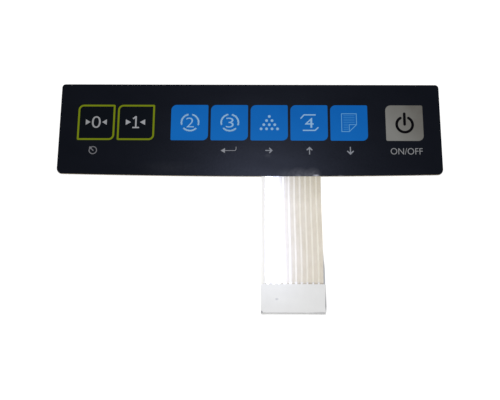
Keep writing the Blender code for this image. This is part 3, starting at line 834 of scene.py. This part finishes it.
# %% [markdown]
# The sixth key's figure stands between two bent lines, and the seventh shows a sheet of paper
# with a folded corner. Both are bands along a few points. The fold's lines stop just short of
# the sheet's edge, so no two shapes lie in the same place.

# %% Print the bent lines and the sheet
BRACKET_LINE = 0.6
SHEET_LINE = 0.33
SHEET_LEFT, SHEET_RIGHT = -3.45, 3.55
SHEET_TOP, SHEET_BOTTOM = 4.55, -4.3
FOLD_X, FOLD_Y = 0.1, -0.85


def brackets(bm):
    band(bm, [(-4.0, 2.1), (-2.3, 3.95), (3.2, 3.95)], BRACKET_LINE)
    band(bm, [(-3.0, -3.75), (2.8, -3.75), (4.4, -2.2)], BRACKET_LINE)


def folded_sheet(bm):
    edge = [
        (SHEET_LEFT, SHEET_BOTTOM),
        (FOLD_X, SHEET_BOTTOM),
        (SHEET_RIGHT, FOLD_Y),
        (SHEET_RIGHT, SHEET_TOP),
        (SHEET_LEFT, SHEET_TOP),
    ]
    band(bm, edge, SHEET_LINE, closed=True)
    reach = SHEET_LINE * 1.25
    fold = [(SHEET_RIGHT - reach, FOLD_Y), (FOLD_X, FOLD_Y), (FOLD_X, SHEET_BOTTOM + reach)]
    band(bm, fold, SHEET_LINE * 0.9)


sign("brackets", brackets, beside(6, 0.0, 0.0), ICE_INK)
sign("folded_sheet", folded_sheet, beside(7, 0.0, 0.0), HAZE_INK)
print("bent lines and sheet printed")

# %% [markdown]
# What repeats by a rule is work for Geometry Nodes: the ten dots of the counting sign, the
# three arcs of the rings, and the lines of writing on the sheet. A tree is built in the
# script with named inputs for its sizes. `Tree` saves typing: it makes nodes, links them, and
# does sums. At the end the copies are made real and get their material, and the result is
# stored as a plain mesh without the modifier.

# %% Helpers for Geometry Nodes


class Tree:
    """A Geometry Nodes tree with named inputs."""

    def __init__(self, name, inputs):
        self.group = bpy.data.node_groups.new(name, "GeometryNodeTree")
        sockets = self.group.interface
        sockets.new_socket("Geometry", in_out="OUTPUT", socket_type="NodeSocketGeometry")
        self.ids = {}
        for label, kind in inputs.items():
            socket = sockets.new_socket(label, in_out="INPUT", socket_type="NodeSocket" + kind)
            self.ids[label] = socket.identifier
        self.inputs = self.group.nodes.new("NodeGroupInput").outputs

    def node(self, kind, values=(), **settings):
        """A node with settings, and values or links for its sockets by name or number."""
        made = self.group.nodes.new(kind)
        for label, value in settings.items():
            setattr(made, label, value)
        for socket, value in dict(values).items():
            if isinstance(value, bpy.types.NodeSocket):
                self.group.links.new(value, made.inputs[socket])
            else:
                made.inputs[socket].default_value = value
        return made

    def sum(self, operation, *values):
        """One step of arithmetic."""
        made = self.node("ShaderNodeMath", enumerate(values), operation=operation)
        return made.outputs["Value"]

    def finish(self, geometry):
        """Makes copies real and gives them the material."""
        real = self.node("GeometryNodeRealizeInstances", {"Geometry": geometry})
        dressed = self.node(
            "GeometryNodeSetMaterial",
            {"Geometry": real.outputs["Geometry"], "Material": self.inputs["Material"]},
        )
        end = self.group.nodes.new("NodeGroupOutput")
        self.group.links.new(dressed.outputs["Geometry"], end.inputs["Geometry"])

    def grow(self, name, place, slot, **values):
        """Runs the tree once and stores the result, at its place, as a plain mesh."""
        host = bpy.data.objects.new(name, bpy.data.meshes.new(name))
        bpy.context.scene.collection.objects.link(host)
        step = host.modifiers.new("grow", "NODES")
        step.node_group = self.group
        for label, value in values.items():
            step[self.ids[label.replace("_", " ")]] = value
        bpy.context.view_layer.update()
        graph = bpy.context.evaluated_depsgraph_get()
        mesh = bpy.data.meshes.new_from_object(host.evaluated_get(graph))
        host.modifiers.remove(step)
        mesh.transform(Matrix.Translation(place))
        host.data = mesh
        mesh.name = name
        return keep(host, values["Material"])


print("tree helper ready")

# %% [markdown]
# The counting sign is a pyramid of dots. Its rule: row r holds r + 1 dots. From a dot's number
# i the row is the whole part of (sqrt(8 i + 1) - 1) / 2, and what is left over is its place
# in the row. So one line of numbered points can be moved into a pyramid of any size, and a
# small disc is then set on every point.

# %% Grow the pyramid of dots
dots = Tree(
    "pyramid_of_dots",
    {
        "Count": "Int",
        "Step X": "Float",
        "Step Y": "Float",
        "Radius": "Float",
        "Thickness": "Float",
        "Material": "Material",
    },
)
points = dots.node("GeometryNodeMeshLine", {"Count": dots.inputs["Count"]})
index = dots.node("GeometryNodeInputIndex").outputs["Index"]
root = dots.sum("SQRT", dots.sum("MULTIPLY_ADD", index, 8.0, 1.0))
row = dots.sum("FLOOR", dots.sum("MULTIPLY", dots.sum("SUBTRACT", root, 1.0), 0.5))
before = dots.sum("MULTIPLY", dots.sum("MULTIPLY", row, dots.sum("ADD", row, 1.0)), 0.5)
column = dots.sum("SUBTRACT", index, before)
from_middle = dots.sum("SUBTRACT", column, dots.sum("MULTIPLY", row, 0.5))
dot_place = dots.node(
    "ShaderNodeCombineXYZ",
    {
        "X": dots.sum("MULTIPLY", from_middle, dots.inputs["Step X"]),
        "Y": dots.sum("MULTIPLY", row, dots.sum("MULTIPLY", dots.inputs["Step Y"], -1.0)),
    },
)
moved = dots.node(
    "GeometryNodeSetPosition",
    {"Geometry": points.outputs["Mesh"], "Position": dot_place.outputs["Vector"]},
)
disc = dots.node(
    "GeometryNodeMeshCylinder",
    {"Vertices": 24, "Radius": dots.inputs["Radius"], "Depth": dots.inputs["Thickness"]},
)
on_points = dots.node(
    "GeometryNodeInstanceOnPoints",
    {"Points": moved.outputs["Geometry"], "Instance": disc.outputs["Mesh"]},
)
dots.finish(on_points.outputs["Instances"])
pyramid = dots.grow(
    "pyramid_of_dots",
    beside(5, 0.05, 3.1) + HALF_INK,
    "housing_white",
    Count=10,
    Step_X=2.58 * MM,
    Step_Y=2.05 * MM,
    Radius=0.67 * MM,
    Thickness=INK,
    Material=ICE_INK,
)
print("dots:", len(pyramid.data.polygons), "faces")

# %% [markdown]
# The third and fourth keys have a ring of three arcs round their figure. One arc is swept
# with a small rectangle into a closed band, and a line of points, one for each arc, places
# copies that turn by a third of a circle each. The printed arcs end round. So near an end,
# within half the band's width, the rectangle shrinks as a circle does: with t as the share of
# the way to full width, its size is the root of 1 - (1 - t) squared.

# %% Grow the rings of arcs
ring = Tree(
    "ring_of_arcs",
    {
        "Arcs": "Int",
        "Radius": "Float",
        "Sweep": "Float",
        "Start": "Float",
        "Line": "Float",
        "Thickness": "Float",
        "Material": "Material",
    },
)
path = ring.node(
    "GeometryNodeCurveArc",
    {
        "Resolution": 96,
        "Radius": ring.inputs["Radius"],
        "Start Angle": ring.inputs["Start"],
        "Sweep Angle": ring.inputs["Sweep"],
    },
)
travelled = ring.node("GeometryNodeSplineParameter").outputs["Length"]
whole = ring.node("GeometryNodeSplineLength").outputs["Length"]
from_end = ring.sum("MINIMUM", travelled, ring.sum("SUBTRACT", whole, travelled))
share = ring.sum("DIVIDE", from_end, ring.sum("MULTIPLY", ring.inputs["Line"], 0.5))
missing = ring.sum("SUBTRACT", 1.0, ring.sum("MINIMUM", share, 1.0))
opened = ring.sum("SUBTRACT", 1.0, ring.sum("MULTIPLY", missing, missing))
rounding = ring.sum("SQRT", ring.sum("MAXIMUM", opened, 0.0025))
profile = ring.node(
    "GeometryNodeCurvePrimitiveQuadrilateral",
    {"Width": ring.inputs["Line"], "Height": ring.inputs["Thickness"]},
)
swept = ring.node(
    "GeometryNodeCurveToMesh",
    {
        "Curve": path.outputs["Curve"],
        "Profile Curve": profile.outputs["Curve"],
        "Scale": rounding,
        "Fill Caps": True,
    },
)
posts = ring.node(
    "GeometryNodeMeshLine",
    {"Count": ring.inputs["Arcs"], "Offset": (0.0, 0.0, 0.0)},
)
post = ring.node("GeometryNodeInputIndex").outputs["Index"]
turn = ring.sum("DIVIDE", ring.sum("MULTIPLY", post, 2 * math.pi), ring.inputs["Arcs"])
facing = ring.node("ShaderNodeCombineXYZ", {"Z": turn})
around = ring.node(
    "GeometryNodeInstanceOnPoints",
    {
        "Points": posts.outputs["Mesh"],
        "Instance": swept.outputs["Mesh"],
        "Rotation": facing.outputs["Vector"],
    },
)
ring.finish(around.outputs["Instances"])
for number in (3, 4):
    grown = ring.grow(
        "ring_%d" % number,
        beside(number, RING_SHIFT, 0.0) + HALF_INK,
        "housing_white",
        Arcs=3,
        Radius=4.06 * MM,
        Sweep=math.radians(98.5),
        Start=math.radians(-20.5),
        Line=0.88 * MM,
        Thickness=INK,
        Material=ICE_INK,
    )
print("ring:", len(grown.data.polygons), "faces")

# %% [markdown]
# The sheet shows nine fine lines of writing, shorter beside the folded corner. They could be
# drawn one by one, but they are one bar, set on a column of points and stretched: full length
# above the fold, a bit under half of it below. The choice is made by comparing each line's
# number with the count of full lines.

# %% Grow the lines on the sheet
LINE_STEP = 0.84
LINE_COUNT = 9
FULL_LINES = 5
SHORT_LINE = 2.3
SIDE_MARGIN = 0.85
TOP_SPACE = 1.0

page = Tree(
    "lines_on_sheet",
    {
        "Count": "Int",
        "Step": "Float",
        "Length": "Float",
        "Short": "Float",
        "Full Lines": "Int",
        "Line": "Float",
        "Thickness": "Float",
        "Material": "Material",
    },
)
down = page.node("ShaderNodeCombineXYZ", {"Y": page.sum("MULTIPLY", page.inputs["Step"], -1.0)})
column_of_points = page.node(
    "GeometryNodeMeshLine",
    {"Count": page.inputs["Count"], "Offset": down.outputs["Vector"]},
)
bar_size = page.node(
    "ShaderNodeCombineXYZ",
    {"X": 1.0, "Y": page.inputs["Line"], "Z": page.inputs["Thickness"]},
)
bar = page.node("GeometryNodeMeshCube", {"Size": bar_size.outputs["Vector"]})
start_left = page.node(
    "GeometryNodeTransform",
    {"Geometry": bar.outputs["Mesh"], "Translation": (0.5, 0.0, 0.0)},
)
line_number = page.node("GeometryNodeInputIndex").outputs["Index"]
last_full = page.sum("SUBTRACT", page.inputs["Full Lines"], 0.5)
is_short = page.sum("GREATER_THAN", line_number, last_full)
cut = page.sum("SUBTRACT", page.inputs["Length"], page.inputs["Short"])
long_way = page.sum("SUBTRACT", page.inputs["Length"], page.sum("MULTIPLY", is_short, cut))
stretch = page.node("ShaderNodeCombineXYZ", {"X": long_way, "Y": 1.0, "Z": 1.0})
written = page.node(
    "GeometryNodeInstanceOnPoints",
    {
        "Points": column_of_points.outputs["Mesh"],
        "Instance": start_left.outputs["Geometry"],
        "Scale": stretch.outputs["Vector"],
    },
)
page.finish(written.outputs["Instances"])
page.grow(
    "lines_on_sheet",
    beside(7, SHEET_LEFT + SIDE_MARGIN, SHEET_TOP - TOP_SPACE) + HALF_INK,
    "key_blue",
    Count=LINE_COUNT,
    Step=LINE_STEP * MM,
    Length=(SHEET_RIGHT - SHEET_LEFT - 2 * SIDE_MARGIN) * MM,
    Short=SHORT_LINE * MM,
    Full_Lines=FULL_LINES,
    Line=0.3 * MM,
    Thickness=INK,
    Material=printed_film("fine_ink", paint(54, 122, 186), paint(62, 130, 192)),
)
print("lines on the sheet grown")

# %% [markdown]
# The keypad lies on a plain white table. Stronger lamps would turn it white too, but they
# would bleach the keypad. So to the camera, and to shiny things that mirror it, the table has
# some light of its own mixed into its white paint. Far away, where the lamp is weak, that is
# all there is, so the background stays white. Round the keypad most of the colour is lit as
# usual, and a soft shadow still falls beside the housing.

# %% Lay the table
TABLE_SIZE = 6000.0
TABLE_DROP = 0.02
TABLE_GLOW = 0.14
TABLE_SHINE = 2.3
TABLE_MIDDLE = (0.0, -40.0, 0.0)
TABLE_REACH = (420.0, 420.0, 420.0)

bm = bmesh.new()
bmesh.ops.create_grid(bm, x_segments=1, y_segments=1, size=TABLE_SIZE / 2 * MM)
table_mesh = bpy.data.meshes.new("table")
bm.to_mesh(table_mesh)
bm.free()
table = bpy.data.objects.new("table", table_mesh)
bpy.context.scene.collection.objects.link(table)
table.location.z = -TABLE_DROP * MM


def seen_directly(tree):
    """1 for rays from the camera, from a reflection or through something clear, otherwise 0."""
    rays = tree.nodes.new("ShaderNodeLightPath")
    share = rays.outputs["Is Camera Ray"]
    for label in ("Is Glossy Ray", "Is Transmission Ray"):
        larger = tree.nodes.new("ShaderNodeMath")
        larger.operation = "MAXIMUM"
        tree.links.new(share, larger.inputs[0])
        tree.links.new(rays.outputs[label], larger.inputs[1])
        share = larger.outputs["Value"]
    return share


table_look = Finish("table_white", Roughness=0.9, Specular_IOR_Level=0.0)
table_look.shader.inputs["Base Color"].default_value = paint(250, 250, 250)
glow = table_look.node("ShaderNodeEmission")
glow.inputs["Strength"].default_value = TABLE_SHINE
blend = table_look.node("ShaderNodeMixShader")
nearness = table_look.spot(TABLE_MIDDLE, TABLE_REACH)
own_light = table_look.remap(nearness, 1.0, TABLE_GLOW, 0.3, 0.72)
portion = table_look.both(seen_directly(table_look.tree), own_light)
table_look.link(portion, blend.inputs["Fac"])
table_look.link(table_look.shader.outputs["BSDF"], blend.inputs[1])
table_look.link(glow.outputs["Emission"], blend.inputs[2])
table_end = table_look.tree.nodes["Material Output"]
table_look.link(blend.outputs["Shader"], table_end.inputs["Surface"])
table_mesh.materials.append(table_look.material)
print("table laid")

# %% [markdown]
# One lamp does most of the work, a long narrow one. Its middle hangs high up, past the
# keypad's upper edge, so that its mirror image falls on the left half of the tail and whites
# it out, and its wide reflection lifts the black of the matt face below the middle keys. The
# world adds an even fill and is white to whatever sees it directly. Lamp and fill together
# light a surface so that its colour renders about as it is written.

# %% Hang the lamp and set the world
LAMP_HEIGHT = 600.0
LAMP_SIZE = (20.0, 160.0)
LAMP_PLACE = (15.7, 64.0)
LAMP_AIM = -20.0
LAMP_ROLL = 2.6
LAMP_POWER = 2.5
FILL = 0.32

lamp_data = bpy.data.lights.new("lamp", "AREA")
lamp_data.shape = "RECTANGLE"
lamp_data.size = LAMP_SIZE[0] * MM
lamp_data.size_y = LAMP_SIZE[1] * MM
lamp_data.energy = LAMP_POWER
lamp = bpy.data.objects.new("lamp", lamp_data)
bpy.context.scene.collection.objects.link(lamp)
lamp.location = Vector((*LAMP_PLACE, LAMP_HEIGHT)) * MM
aim = Vector((LAMP_PLACE[0], LAMP_AIM, 0.0)) * MM - lamp.location
facing = aim.to_track_quat("-Z", "Y").to_matrix()
lamp.rotation_euler = (Matrix.Rotation(math.radians(LAMP_ROLL), 3, "Z") @ facing).to_euler()

world = bpy.data.worlds.new("world")
bpy.context.scene.world = world
world.use_nodes = True
background = world.node_tree.nodes["Background"]
background.inputs["Color"].default_value = (1.0, 1.0, 1.0, 1.0)
level = world.node_tree.nodes.new("ShaderNodeMapRange")
level.inputs["To Min"].default_value = FILL
level.inputs["To Max"].default_value = 1.0
world.node_tree.links.new(seen_directly(world.node_tree), level.inputs["Value"])
world.node_tree.links.new(level.outputs["Result"], background.inputs["Strength"])
bpy.context.scene.view_settings.view_transform = "Standard"
print("lamp %.1f W, fill %.2f" % (LAMP_POWER, FILL))
